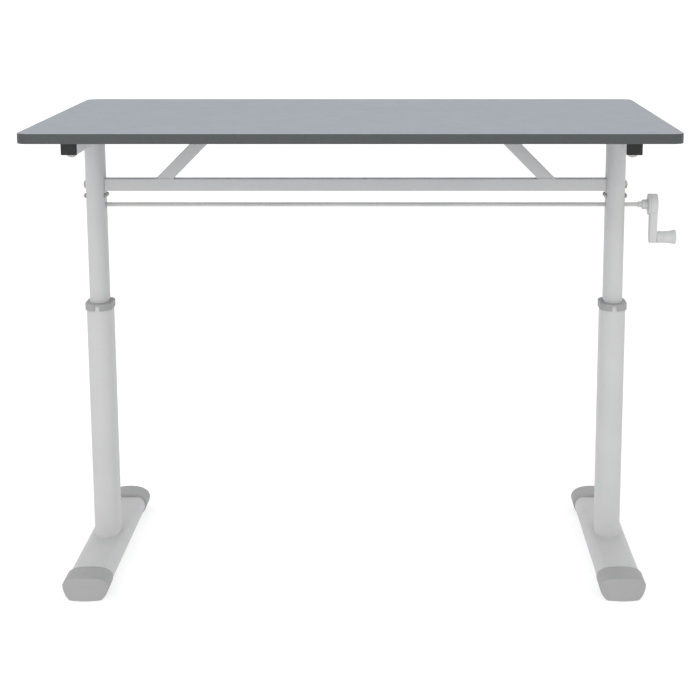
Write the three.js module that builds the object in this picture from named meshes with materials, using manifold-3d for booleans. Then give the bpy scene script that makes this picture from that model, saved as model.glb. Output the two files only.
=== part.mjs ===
import * as THREE from "three";
import { mergeVertices } from "three/addons/utils/BufferGeometryUtils.js";
import Module from "manifold-3d";

// A crank-operated height adjustable desk, in millimetres, +Z up, floor at Z = 0.
// The desk is drawn about the middle of its top and moved sideways at the end, so that the
// origin is on the floor in the middle of everything, crank included. -Y is the front.

// ---- Desktop ----
const deskWidth = 1200;
const deskDepth = 750;
const deskHeight = 918.5;
const boardThick = 18;
const boardCorner = 22;
const bandThick = 1;

// ---- Side rails under the top, with their end caps and bolts ----
const railSize = 30;
const railHeight = 32;
const railWall = 1.5;
const railInset = 102;
const railCapThick = 3;
const railPlugLength = 15;
const railBoltInset = 28;
const railBoltRadius = 3;
const railBoltHeadRadius = 10;
const railBoltHeadHeight = 7;
const railBoltDepth = 12;

// ---- Columns: inner tube slides in the outer one ----
const columnInset = 76;
const tubeWidth = 38;
const tubeDepth = 58;
const tubeWall = 1.5;
const glideSideWall = 3.4;
const glideFrontWall = 9.9;
const glideHeight = 36;
const slideGap = 0.3;
const columnWall = 2;
const columnTop = 536;
const tubeOverlap = 304;

// ---- Collar that guides the inner tube ----
const collarSideProud = 2.6;
const collarFrontProud = 2.5;
const collarSkirt = 11;
const collarTopThick = 2.7;
const collarInsert = 42;
const collarNotch = 10;

// ---- Feet ----
const footLength = 594;
const footSetback = 7;
const footHeight = 38;
const footShoulder = 17;
const footCorner = 18;
const footWall = 2;
const soleThick = 4;
const soleWidth = 62;
const capLength = 69;
const capWall = 8;
const capNose = 12;
const capSideProud = 3.5;
const capCrown = 5;
const capWidest = 0.62;
const capBelly = 2.5;
const capBellyRise = 0.35;
const capShoulder = 13;
const capShoulderTop = 7;
const capShoulderDrop = 4;
const capShoulderRise = 1.5;

// ---- Crossbar and braces ----
const barSize = 25;
const barWall = 1.5;
const squareTubeCorner = 1.5;
const barDrop = 140;
const barPlugLength = 16;
const barBoltTipGap = 2;
const barBoltRadius = 3;
const barBoltHeadRadius = 9.5;
const barBoltHeadHeight = 6;
const braceInset = 140;
const bracePlateThick = 3;
const bracePlateReach = 16;
const bracePlateProud = 2;
const braceScrewRadius = 2;
const braceScrewHeadRadius = 4.5;
const braceScrewHeadHeight = 2.5;
const braceScrewDepth = 11;

// ---- Drive: rod, bevel gears, gearboxes, lead screws and nuts ----
const rodDrop = 181;
const rodFlats = 8;
const rodHoleGap = 1.4;
const boxWall = 2.7;
const boxFloor = 18.4;
const boxRoof = 15.6;
const gearTeeth = 12;
const gearFace = 4;
const gearEndGap = 3;
const gearTip = 1.1;
const gearRoot = 0.86;
const gearTipGap = 2.35;
const toothRootShare = 0.27;
const toothTipShare = 0.11;
const screwRadius = 6;
const journalRadius = 4;
const shoulderGap = 2;
const postGap = 2.5;
const postWall = 3;
const nutHeight = 30;
const nutBelowColumnTop = 36;
const screwBelowNut = 230;
const boxScrewRise = 4.6;
const boxScrewSpread = 24;
const boxScrewRadius = 2;
const boxScrewHeadRadius = 5;
const boxScrewHeadHeight = 4.5;
const boxScrewDepth = 6;

// ---- Crank, measured outwards from the axis of the right-hand column ----
const neckStart = 47;
const neckRadius = 6;
const hubStart = 55;
const hubRadius = 10;
const bossStart = 67;
const bossRadius = 21.75;
const armSetback = 4;
const armThick = 15;
const armWidth = 27;
const armLength = 66.8;
const armEndRadius = 12;
const rodEndInBoss = 8;
const knobGap = 0.5;
const knobLength = 39;
const knobWaistRadius = 11.5;
const knobEndRadius = 15;
const knobFlareStart = 0.45;
const knobNearEdge = 1;
const knobRim = 3;
const knobRimFace = 1.5;
const knobRimDepth = 0.8;
const knobEndFace = 4;
const axleInset = 8;
const axleRadius = 3;

// ---- Fits ----
const seat = 0.1;
const holeGap = 0.3;
const running = 0.05;
const arcSteps = 4;
const roundSteps = 20;
const smallSteps = 12;

// Places that the sizes above lead to
const boardBottom = deskHeight - boardThick;
const columnX = deskWidth / 2 - columnInset;
const railBottom = boardBottom - railHeight;
const railHalf = deskDepth / 2 - railInset - railCapThick;
const railBoltY = railHalf + railCapThick - railBoltInset;
const glideWidth = tubeWidth + 2 * (slideGap + glideSideWall);
const glideDepth = tubeDepth + 2 * (slideGap + glideFrontWall);
const columnWidth = glideWidth + 2 * (slideGap + columnWall);
const columnDepth = glideDepth + 2 * (slideGap + columnWall);
const tubeBottom = columnTop - tubeOverlap;
const footWidth = columnWidth + 2 * footShoulder;
const footTop = soleThick + footHeight;
const barZ = deskHeight - barDrop;
const barHalf = columnX - tubeWidth / 2 - seat;
const rodZ = deskHeight - rodDrop;
const rodCorner = rodFlats / Math.sqrt(3);
const boxWidth = tubeWidth - 2 * (tubeWall + slideGap);
const boxDepth = tubeDepth - 2 * (tubeWall + slideGap);
const cavityHalf = boxWidth / 2 - boxWall;
const gearReach = cavityHalf - gearEndGap;
const cavityRise = gearReach * gearTip + gearTipGap;
const boxBottom = rodZ - cavityRise - boxFloor;
const boxTop = rodZ + cavityRise + boxRoof;
const boxScrewY = boxScrewSpread / 2;
const boxScrewZ = rodZ + cavityRise + boxScrewRise;
const postRadius = tubeWidth / 2 - tubeWall - postGap;
const nutTop = columnTop - nutBelowColumnTop;
const nutBottom = nutTop - nutHeight;
const screwBottom = nutBottom - screwBelowNut;
const bossX = columnX + bossStart;
const armX = bossX + armSetback;
const armEnd = armX + armThick;
const knobX = armEnd + knobGap;
const knobEnd = knobX + knobLength;
const knobZ = rodZ - armLength;

// ---- Finishes ----
const finish = (color, roughness, metalness) =>
  new THREE.MeshStandardMaterial({ color, roughness, metalness });
const laminate = finish(0xacb2b8, 0.45, 0);
const banding = finish(0x5e6263, 0.5, 0);
const greyPaint = finish(0xcacaca, 0.5, 0.1);
const greyPlastic = finish(0xa4a4a4, 0.6, 0);
const blackPlastic = finish(0x2e2e2e, 0.6, 0);
const zinc = finish(0x9a9a96, 0.35, 0.9);
const steel = finish(0xb4b4b2, 0.35, 0.9);
const bronze = finish(0xa98a52, 0.45, 0.8);
const castMetal = finish(0x8c8e90, 0.6, 0.7);

const wasm = await Module();
wasm.setup();

// A closed geometry as a solid that can be joined and cut.
function solid(geometry) {
  const bare = geometry.clone();
  bare.deleteAttribute("normal");
  bare.deleteAttribute("uv");
  const merged = mergeVertices(bare, 1e-4);
  return new wasm.Manifold(
    new wasm.Mesh({
      numProp: 3,
      vertProperties: merged.attributes.position.array,
      triVerts: new Uint32Array(merged.index.array),
    }),
  );
}

function geometryOf(body) {
  const { vertProperties, triVerts } = body.getMesh();
  const geometry = new THREE.BufferGeometry();
  geometry.setAttribute("position", new THREE.BufferAttribute(vertProperties, 3));
  geometry.setIndex(new THREE.BufferAttribute(triVerts, 1));
  geometry.computeVertexNormals();
  return geometry;
}

const cut = (geometry, ...tools) =>
  geometryOf(tools.reduce((body, tool) => body.subtract(solid(tool)), solid(geometry)));

const join = (...pieces) =>
  geometryOf(pieces.map(solid).reduce((body, piece) => body.add(piece)));

const shared = (first, second) => geometryOf(solid(first).intersect(solid(second)));

// Outlines are drawn flat and pushed along one axis. DrawnY keeps X and stands the outline up
// (drawn Y becomes Z); drawnX lays the outline in the Y-Z plane.
const axisX = new THREE.Vector3(1, 0, 0);
const axisY = new THREE.Vector3(0, 1, 0);
const axisZ = new THREE.Vector3(0, 0, 1);
const drawnY = new THREE.Matrix4().makeBasis(axisX, axisZ, axisY.clone().negate());
const drawnX = new THREE.Matrix4().makeBasis(axisY, axisZ, axisX);
const turnedX = new THREE.Matrix4().makeBasis(axisY, axisX, axisZ.clone().negate());

const pushed = (shape, length) =>
  new THREE.ExtrudeGeometry(shape, { depth: length, bevelEnabled: false, curveSegments: arcSteps });
const alongZ = (shape, low, high) => pushed(shape, high - low).translate(0, 0, low);
const alongY = (shape, low, high) =>
  pushed(shape, high - low).applyMatrix4(drawnY).translate(0, high, 0);
const alongX = (shape, low, high) =>
  pushed(shape, high - low).applyMatrix4(drawnX).translate(low, 0, 0);

// A rectangle with round corners, centred on a point. A corner of half the width gives a flat oval.
function rounded(width, height, corner, x = 0, y = 0) {
  const shape = new THREE.Shape();
  const right = x + width / 2 - corner;
  const left = x - width / 2 + corner;
  const top = y + height / 2 - corner;
  const bottom = y - height / 2 + corner;
  shape.absarc(right, top, corner, 0, Math.PI / 2);
  shape.absarc(left, top, corner, Math.PI / 2, Math.PI);
  shape.absarc(left, bottom, corner, Math.PI, Math.PI * 1.5);
  shape.absarc(right, bottom, corner, Math.PI * 1.5, Math.PI * 2);
  shape.closePath();
  return shape;
}

const oval = (width, depth) => rounded(width, depth, width / 2);

function rectangle(width, height, x = 0, y = 0) {
  const shape = new THREE.Shape();
  shape.moveTo(x - width / 2, y - height / 2);
  shape.lineTo(x + width / 2, y - height / 2);
  shape.lineTo(x + width / 2, y + height / 2);
  shape.lineTo(x - width / 2, y + height / 2);
  shape.closePath();
  return shape;
}

// A hexagon given by its distance across corners, with a corner on the drawn X axis.
function hexagon(cornerRadius) {
  const shape = new THREE.Shape();
  for (let side = 0; side < 6; side += 1) {
    const angle = (side * Math.PI) / 3;
    const point = [cornerRadius * Math.cos(angle), cornerRadius * Math.sin(angle)];
    if (side === 0) shape.moveTo(...point);
    else shape.lineTo(...point);
  }
  shape.closePath();
  return shape;
}

function hollow(outer, inner) {
  outer.holes.push(new THREE.Path(inner.getPoints(arcSteps)));
  return outer;
}

// A body turned about Z or X, from a profile of [radius, height] pairs listed upwards.
const lathe = (profile, steps) =>
  new THREE.LatheGeometry(profile.map(([r, h]) => new THREE.Vector2(r, h)), steps);
const turnedAboutZ = (profile, steps = roundSteps) => lathe(profile, steps).applyMatrix4(drawnY);
const turnedAboutX = (profile, steps = roundSteps) => lathe(profile, steps).applyMatrix4(turnedX);

// A round bar, and a round hole whose flats clear a bar of the given radius.
const barProfile = (radius, low, high) => [[0, low], [radius, low], [radius, high], [0, high]];
const holeRadius = (radius, steps) => radius / Math.cos(Math.PI / steps);
const barZWise = (radius, low, high, steps = roundSteps) =>
  turnedAboutZ(barProfile(radius, low, high), steps);
const barXWise = (radius, low, high, steps = roundSteps) =>
  turnedAboutX(barProfile(radius, low, high), steps);
const holeZWise = (radius, low, high, steps = roundSteps) =>
  barZWise(holeRadius(radius, steps), low, high, steps);
const holeXWise = (radius, low, high, steps = roundSteps) =>
  barXWise(holeRadius(radius, steps), low, high, steps);
const screwHoleZ = (radius, low, high) => holeZWise(radius + holeGap, low, high, smallSteps);
const screwHoleX = (radius, low, high) => holeXWise(radius + holeGap, low, high, smallSteps);

// Screws with a domed head. The head starts at 0 and stands up; the shank goes down.
function domedScrew(shankRadius, shankLength, headRadius, headHeight) {
  const profile = [[0, -shankLength], [shankRadius, -shankLength], [shankRadius, 0], [headRadius, 0]];
  const steps = 4;
  for (let step = 1; step < steps; step += 1) {
    const angle = (step / steps) * (Math.PI / 2);
    profile.push([headRadius * Math.cos(angle), headHeight * Math.sin(angle)]);
  }
  profile.push([0, headHeight]);
  return profile;
}

const desk = new THREE.Group();

function add(name, geometry, material, x = 0, y = 0, z = 0) {
  const mesh = new THREE.Mesh(geometry, material);
  mesh.name = name;
  mesh.position.set(x, y, z);
  desk.add(mesh);
  return mesh;
}

const sides = [["left", -1], ["right", 1]];
const ends = [["front", -1], ["rear", 1]];

// ---- Desktop board, its glued edge band, and the pilot holes for the screws that hold it ----
const braceTopX = columnX - braceInset - (boardBottom - bracePlateThick - seat - barZ - barSize / 2);
const plateHalf = (barSize * Math.SQRT2) / 2 + bracePlateReach;
const braceScrewReach = plateHalf - bracePlateReach / 2;
const braceScrewX = [braceTopX - braceScrewReach, braceTopX + braceScrewReach];

const pilotHoles = [];
for (const [, side] of sides) {
  for (const [, end] of ends) {
    const hole = screwHoleZ(railBoltRadius, boardBottom - 1, boardBottom + railBoltDepth + holeGap);
    pilotHoles.push(hole.translate(side * columnX, end * railBoltY, 0));
  }
  for (const x of braceScrewX) {
    const hole = screwHoleZ(braceScrewRadius, boardBottom - 1, boardBottom + braceScrewDepth + holeGap);
    pilotHoles.push(hole.translate(side * x, 0, 0));
  }
}
const boardWidth = deskWidth - 2 * (bandThick + seat);
const boardDepth = deskDepth - 2 * (bandThick + seat);
const board = rounded(boardWidth, boardDepth, boardCorner - bandThick - seat);
add("desktop", cut(alongZ(board, boardBottom, deskHeight), ...pilotHoles), laminate);

const bandInside = rounded(deskWidth - 2 * bandThick, deskDepth - 2 * bandThick, boardCorner - bandThick);
const band = hollow(rounded(deskWidth, deskDepth, boardCorner), bandInside);
add("edge_band", alongZ(band, boardBottom, deskHeight), banding);

// ---- Side rails: square tube, black end caps, and a bolt near each end up into the board ----
for (const [sideName, side] of sides) {
  const insideWidth = railSize - 2 * railWall;
  const insideHeight = railHeight - 2 * railWall;
  const tube = hollow(rectangle(railSize, railHeight - seat), rectangle(insideWidth, insideHeight));
  const boltHoles = ends.map(([, end]) =>
    screwHoleZ(railBoltRadius, -railHeight, railHeight).translate(0, end * railBoltY, 0),
  );
  const railZ = railBottom + railHeight / 2;
  const rail = cut(alongY(tube, -railHalf, railHalf), ...boltHoles);
  add(`side_rail_${sideName}`, rail, greyPaint, side * columnX, 0, railZ);

  for (const [endName, end] of ends) {
    const plugShape = rectangle(insideWidth - 2 * slideGap, insideHeight - 2 * slideGap);
    const plug = alongY(plugShape, -railPlugLength, railCapThick / 2);
    const faceShape = rounded(railSize, railHeight - seat, squareTubeCorner);
    const face = alongY(faceShape, seat, railCapThick);
    const cap = join(face, plug);
    if (end < 0) cap.rotateZ(Math.PI);
    add(`rail_cap_${endName}_${sideName}`, cap, blackPlastic, side * columnX, end * railHalf, railZ);

    const bolt = turnedAboutZ(
      domedScrew(railBoltRadius, railHeight + railBoltDepth, railBoltHeadRadius, railBoltHeadHeight),
    );
    bolt.rotateX(Math.PI);
    add(`rail_bolt_${endName}_${sideName}`, bolt, zinc, side * columnX, end * railBoltY, railBottom - seat);
  }
}

// ---- Inner tubes, welded under the rails, with a plastic glide round the foot of each ----
const tubeInside = oval(tubeWidth - 2 * tubeWall, tubeDepth - 2 * tubeWall);
const tubeClear = oval(tubeWidth + 2 * slideGap, tubeDepth + 2 * slideGap);
for (const [sideName, side] of sides) {
  const rodHole = holeXWise(rodCorner + rodHoleGap, -tubeWidth, tubeWidth).translate(0, 0, rodZ);
  const barBoltHole = screwHoleX(barBoltRadius, -tubeWidth, tubeWidth).translate(0, 0, barZ);
  const boxScrewHoles = ends.map(([, end]) =>
    screwHoleX(boxScrewRadius, -tubeWidth, tubeWidth).translate(0, end * boxScrewY, boxScrewZ),
  );
  const shell = alongZ(hollow(oval(tubeWidth, tubeDepth), tubeInside), tubeBottom, railBottom - seat);
  const tube = cut(shell, rodHole, barBoltHole, ...boxScrewHoles);
  add(`inner_tube_${sideName}`, tube, greyPaint, side * columnX);

  const glideRing = hollow(oval(glideWidth, glideDepth), tubeClear);
  const glide = alongZ(glideRing, tubeBottom, tubeBottom + glideHeight);
  add(`tube_glide_${sideName}`, glide, blackPlastic, side * columnX);
}

// ---- Crossbar between the inner tubes: square tube with a tapped plug in each end ----
const barInside = barSize - 2 * barWall;
const barBolts = sides.map(([, side]) =>
  screwHoleX(barBoltRadius, -barPlugLength - 1, barPlugLength + 1).translate(side * barHalf, 0, barZ),
);
const barBoreHalf = barHalf - barPlugLength;
const barBore = alongX(rectangle(barInside, barInside, 0, barZ), -barBoreHalf, barBoreHalf);
const bar = alongX(rounded(barSize, barSize, squareTubeCorner, 0, barZ), -barHalf, barHalf);
add("crossbar", cut(bar, barBore, ...barBolts), greyPaint);

const barBoltLength = tubeWidth + barPlugLength - barBoltTipGap;
for (const [sideName, side] of sides) {
  const bolt = turnedAboutX(domedScrew(barBoltRadius, barBoltLength, barBoltHeadRadius, barBoltHeadHeight));
  if (side < 0) bolt.rotateZ(Math.PI);
  add(`crossbar_bolt_${sideName}`, bolt, zinc, side * (columnX + tubeWidth / 2 + seat), 0, barZ);
}

// ---- Braces: square tube at 45 degrees from the crossbar to a welded plate under the board ----
function slantedBar(low, high, halfWidth, width) {
  const shape = new THREE.Shape();
  shape.moveTo(-halfWidth + low, low);
  shape.lineTo(halfWidth + low, low);
  shape.lineTo(halfWidth + high, high);
  shape.lineTo(-halfWidth + high, high);
  shape.closePath();
  return alongY(shape, -width / 2, width / 2);
}
const braceRise = boardBottom - seat - bracePlateThick - (barZ + barSize / 2 + seat);
for (const [sideName, side] of sides) {
  const tube = slantedBar(0, braceRise + 1, (barSize * Math.SQRT2) / 2, barSize);
  const plateCentre = braceRise;
  const plateShape = rectangle(2 * plateHalf, bracePlateThick, plateCentre, braceRise + bracePlateThick / 2);
  const plateSide = barSize / 2 + bracePlateProud;
  const plate = alongY(plateShape, -plateSide, plateSide);
  const bore = slantedBar(-1, braceRise - 1, (barInside * Math.SQRT2) / 2, barInside);
  const screwHoles = [-1, 1].map((end) => {
    const hole = screwHoleZ(braceScrewRadius, braceRise - 1, braceRise + bracePlateThick + 1);
    return hole.translate(plateCentre + end * braceScrewReach, 0, 0);
  });
  const brace = cut(join(tube, plate), bore, ...screwHoles);
  if (side > 0) brace.rotateZ(Math.PI);
  const footX = side * (columnX - braceInset);
  add(`brace_${sideName}`, brace, greyPaint, footX, 0, barZ + barSize / 2 + seat);

  ["inner", "outer"].forEach((place, index) => {
    const length = bracePlateThick + braceScrewDepth;
    const screw = turnedAboutZ(
      domedScrew(braceScrewRadius, length, braceScrewHeadRadius, braceScrewHeadHeight),
      smallSteps,
    );
    screw.rotateX(Math.PI);
    const screwZ = boardBottom - bracePlateThick - 2 * seat;
    add(`brace_screw_${place}_${sideName}`, screw, zinc, side * braceScrewX[index], 0, screwZ);
  });
}

// ---- Gearboxes in the inner tubes: a housing, a pair of bevel gears, and four screws ----
function bevelOutline(toothAtZero) {
  const shape = new THREE.Shape();
  const pitch = (2 * Math.PI) / gearTeeth;
  const corners = [
    [gearRoot, -toothRootShare],
    [gearTip, -toothTipShare],
    [gearTip, toothTipShare],
    [gearRoot, toothRootShare],
  ];
  for (let tooth = 0; tooth < gearTeeth; tooth += 1) {
    const centre = (tooth + (toothAtZero ? 0 : 0.5)) * pitch;
    for (const [radius, share] of corners) {
      const angle = centre + share * pitch;
      const point = [radius * Math.cos(angle), radius * Math.sin(angle)];
      if (tooth === 0 && share === corners[0][1]) shape.moveTo(...point);
      else shape.lineTo(...point);
    }
  }
  shape.closePath();
  return shape;
}

// The teeth run to a point on both shaft axes: every slice is the same outline, grown in
// proportion to its distance from that point.
function bevelGear(toothAtZero) {
  const gear = pushed(bevelOutline(toothAtZero), gearFace);
  const points = gear.attributes.position;
  for (let index = 0; index < points.count; index += 1) {
    const reach = gearReach - gearFace + points.getZ(index);
    points.setXY(index, points.getX(index) * reach, points.getY(index) * reach);
  }
  return gear.translate(0, 0, gearReach - gearFace);
}

for (const [sideName, side] of sides) {
  const x = side * columnX;
  const cavity = alongX(rectangle(2 * cavityHalf, 2 * cavityRise, 0, rodZ), -cavityHalf, cavityHalf);
  const rodBore = holeXWise(rodCorner + running, -boxWidth, boxWidth).translate(0, 0, rodZ);
  const screwBore = holeZWise(journalRadius + running, boxBottom - 1, rodZ);
  const screwHoles = ends.map(([, end]) =>
    screwHoleX(boxScrewRadius, -boxWidth, boxWidth).translate(0, end * boxScrewY, boxScrewZ),
  );
  const housing = alongZ(oval(boxWidth, boxDepth), boxBottom, boxTop);
  add(`gearbox_${sideName}`, cut(housing, cavity, rodBore, screwBore, ...screwHoles), castMetal, x);

  for (const [faceName, face] of [["inner", -side], ["outer", side]]) {
    for (const [endName, end] of ends) {
      const fromFlat = Math.max(0, boxScrewY - (tubeDepth - tubeWidth) / 2);
      const skinX = Math.sqrt((tubeWidth / 2) ** 2 - fromFlat ** 2);
      const reach = tubeWidth / 2 - skinX + tubeWall + boxScrewDepth;
      const screw = turnedAboutX(
        domedScrew(boxScrewRadius, reach, boxScrewHeadRadius, boxScrewHeadHeight),
        smallSteps,
      );
      if (face < 0) screw.rotateZ(Math.PI);
      const screwX = x + face * (tubeWidth / 2 + seat);
      const screwName = `gearbox_screw_${faceName}_${endName}_${sideName}`;
      add(screwName, screw, zinc, screwX, end * boxScrewY, boxScrewZ);
    }
  }

  // The rod's gear has a tooth at the meeting line, the lead screw's gear has a gap there.
  const hexBore = alongZ(hexagon(rodCorner + seat), 0, gearReach + 1);
  const rodGear = cut(bevelGear(true), hexBore).rotateZ(Math.PI).applyMatrix4(drawnX).rotateZ(Math.PI);
  add(`rod_gear_${sideName}`, rodGear, steel, x, 0, rodZ);

  const roundBore = holeZWise(journalRadius + seat, 0, gearReach + 1);
  const screwGear = cut(bevelGear(false), roundBore).rotateX(Math.PI);
  add(`screw_gear_${sideName}`, screwGear, steel, x, 0, rodZ);
}

// ---- Lead screws, and the nuts that stand on posts inside the columns ----
const screwShoulder = boxBottom - shoulderGap;
const gearTopZ = rodZ - gearReach + gearFace;
for (const [sideName, side] of sides) {
  const x = side * columnX;
  const screwProfile = [
    [0, screwBottom],
    [screwRadius, screwBottom],
    [screwRadius, screwShoulder],
    [journalRadius, screwShoulder],
    [journalRadius, gearTopZ],
    [0, gearTopZ],
  ];
  add(`lead_screw_${sideName}`, turnedAboutZ(screwProfile), steel, x);

  const nutBore = holeZWise(screwRadius + running, nutBottom - 1, nutTop + 1);
  const nut = alongZ(hexagon(postRadius), nutBottom, nutTop);
  add(`lift_nut_${sideName}`, cut(nut, nutBore), bronze, x);

  const postBore = holeZWise(postRadius - postWall, footTop - 1, nutBottom + 1);
  const post = barZWise(postRadius, footTop + seat, nutBottom - seat);
  add(`nut_post_${sideName}`, cut(post, postBore), steel, x);
}

// ---- Outer columns and the grey collars that cap them ----
const columnInside = oval(columnWidth - 2 * columnWall, columnDepth - 2 * columnWall);
for (const [sideName, side] of sides) {
  const x = side * columnX;
  add(
    `outer_column_${sideName}`,
    alongZ(hollow(oval(columnWidth, columnDepth), columnInside), footTop + seat, columnTop),
    greyPaint,
    x,
  );

  const collarTop = columnTop + slideGap + collarTopThick;
  const skirtOutline = oval(columnWidth + 2 * collarSideProud, columnDepth + 2 * collarFrontProud);
  const columnClear = oval(columnWidth + 2 * slideGap, columnDepth + 2 * slideGap);
  const skirt = cut(
    alongZ(skirtOutline, columnTop - collarSkirt, collarTop),
    alongZ(columnClear, columnTop - collarSkirt - 1, columnTop + slideGap),
  );
  const insert = alongZ(oval(glideWidth, glideDepth), columnTop - collarInsert, collarTop - 1);
  const notch = alongZ(
    rectangle(collarNotch, 2 * collarFrontProud + 2, 0, -columnDepth / 2 - collarFrontProud),
    columnTop - collarSkirt - 1,
    columnTop - 1,
  );
  const tubeHole = alongZ(tubeClear, columnTop - collarInsert - 1, collarTop + 1);
  const collar = cut(join(skirt, insert), tubeHole, notch);
  add(`column_collar_${sideName}`, collar, greyPlastic, x);
}

// ---- Feet: flat-oval tube along Y with a moulded cap over each end ----
// A cap's section has a flat sole, sides that swell out to their widest above the middle,
// round shoulders beside the tube's top edges, and a low crown.
function capOutline() {
  const half = footWidth / 2 + capSideProud;
  const crown = footTop + capCrown;
  const foot = soleWidth / 2;
  const widest = footTop * capWidest;
  const bellyX = half - capBelly;
  const bellyY = widest * capBellyRise;
  const shoulderX = half - capShoulder;
  const shoulderY = footTop + capShoulderRise;
  const turnX = half - capShoulderTop;
  const turnY = footTop - capShoulderDrop;
  const shape = new THREE.Shape();
  shape.moveTo(-foot, 0);
  shape.lineTo(foot, 0);
  shape.quadraticCurveTo(bellyX, bellyY, half, widest);
  shape.bezierCurveTo(half, turnY, turnX, footTop, shoulderX, shoulderY);
  shape.quadraticCurveTo(half / 2, crown, 0, crown);
  shape.quadraticCurveTo(-half / 2, crown, -shoulderX, shoulderY);
  shape.bezierCurveTo(-turnX, footTop, -half, turnY, -half, widest);
  shape.quadraticCurveTo(-bellyX, bellyY, -foot, 0);
  return shape;
}

// From above, a cap's end is a shallow arc across its whole width.
function nosedPlan() {
  const half = footWidth / 2 + capSideProud;
  const radius = (half * half + capNose * capNose) / (2 * capNose);
  const reach = Math.asin(half / radius);
  const shape = new THREE.Shape();
  shape.absarc(0, radius, radius, -Math.PI / 2 - reach, -Math.PI / 2 + reach);
  shape.lineTo(half, capLength);
  shape.lineTo(-half, capLength);
  shape.closePath();
  return shape;
}

const tubeEnd = footLength / 2 - capNose - capWall;
const footZ = soleThick + footHeight / 2;
const insideWidth = footWidth - 2 * footWall;
const insideHeight = footHeight - 2 * footWall;
const footInside = rounded(insideWidth, insideHeight, footCorner - footWall, 0, footZ);
const footClear = rounded(footWidth + 2 * holeGap, footHeight + 2 * holeGap, footCorner + holeGap, 0, footZ);
for (const [sideName, side] of sides) {
  const x = side * columnX;
  const tube = hollow(rounded(footWidth, footHeight, footCorner, 0, footZ), footInside);
  add(`foot_tube_${sideName}`, alongY(tube, -tubeEnd, tubeEnd), greyPaint, x, footSetback);
  for (const [endName, end] of ends) {
    const socketDepth = footLength / 2 - tubeEnd - holeGap;
    const socket = alongY(footClear, socketDepth, capLength + 1);
    const block = alongY(capOutline(), 0, capLength);
    const plan = alongZ(nosedPlan(), -1, footTop + capCrown + 1);
    const cap = cut(shared(block, plan), socket);
    if (end > 0) cap.rotateZ(Math.PI);
    const capY = footSetback + (end * footLength) / 2;
    add(`foot_cap_${endName}_${sideName}`, cap, greyPlastic, x, capY);
  }
}

// ---- Drive rod, crank hub, crank arm, and the knob that spins on its axle ----
const rodStart = -columnX - boxWidth / 2;
const rodEnd = bossX + rodEndInBoss;
const rod = alongX(hexagon(rodCorner), rodStart, rodEnd);
add("drive_rod", rod, steel, 0, 0, rodZ);

const hexThrough = (low, high) => alongX(hexagon(rodCorner + seat), low, high);
const neckX = columnX + neckStart;
const hubX = columnX + hubStart;
const hubEdge = 1;
const hub = turnedAboutX([
  [0, neckX],
  [neckRadius, neckX],
  [neckRadius, hubX],
  [hubRadius - hubEdge, hubX],
  [hubRadius, hubX + hubEdge],
  [hubRadius, bossX - seat],
  [0, bossX - seat],
]);
add("crank_hub", cut(hub, hexThrough(neckX - 1, bossX + 1)), greyPlastic, 0, 0, rodZ);

function armOutline() {
  const shape = new THREE.Shape();
  const half = armWidth / 2;
  shape.moveTo(half, 0);
  shape.lineTo(-half, 0);
  shape.lineTo(-armEndRadius, -armLength);
  shape.absarc(0, -armLength, armEndRadius, Math.PI, Math.PI * 2);
  shape.closePath();
  return shape;
}
const bossRound = 1.5;
const boss = turnedAboutX([
  [0, bossX],
  [bossRadius - bossRound, bossX],
  [bossRadius, bossX + bossRound],
  [bossRadius, armEnd - bossRound],
  [bossRadius - bossRound, armEnd],
  [0, armEnd],
], 28);
const arm = alongX(armOutline(), armX, armEnd);
const axleHole = holeXWise(axleRadius + seat, armX + armThick / 2, armEnd + 1).translate(0, 0, -armLength);
const crank = cut(join(boss, arm), hexThrough(bossX - 1, rodEnd + seat), axleHole);
add("crank_arm", crank, greyPlastic, 0, 0, rodZ);

const axleEnd = knobEnd - axleInset;
add("knob_axle", barXWise(axleRadius, armX + armThick / 2 + seat, axleEnd), zinc, 0, 0, knobZ);

const knobProfile = [
  [0, knobX],
  [knobWaistRadius - knobNearEdge, knobX],
  [knobWaistRadius, knobX + knobNearEdge],
];
const flareSteps = 5;
const flareStart = knobX + knobLength * knobFlareStart;
const flareLength = knobEnd - knobRim - flareStart;
for (let step = 0; step <= flareSteps; step += 1) {
  const share = step / flareSteps;
  const radius = knobWaistRadius + (knobEndRadius - knobWaistRadius) * share ** 2;
  knobProfile.push([radius, flareStart + flareLength * share]);
}
knobProfile.push([knobEndRadius - knobRimFace, knobEnd - knobRimDepth]);
knobProfile.push([knobEndRadius - knobEndFace, knobEnd], [0, knobEnd]);
const knobBore = holeXWise(axleRadius + running, knobX - 1, axleEnd + 1);
add("knob", cut(turnedAboutX(knobProfile, 28), knobBore), greyPlastic, 0, 0, knobZ);

// The knob reaches past the right edge of the top, so the middle of the whole is to its right.
const part = new THREE.Group();
desk.position.x = (deskWidth / 2 - knobEnd) / 2;
part.add(desk);
export default part;
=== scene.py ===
import math

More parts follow.
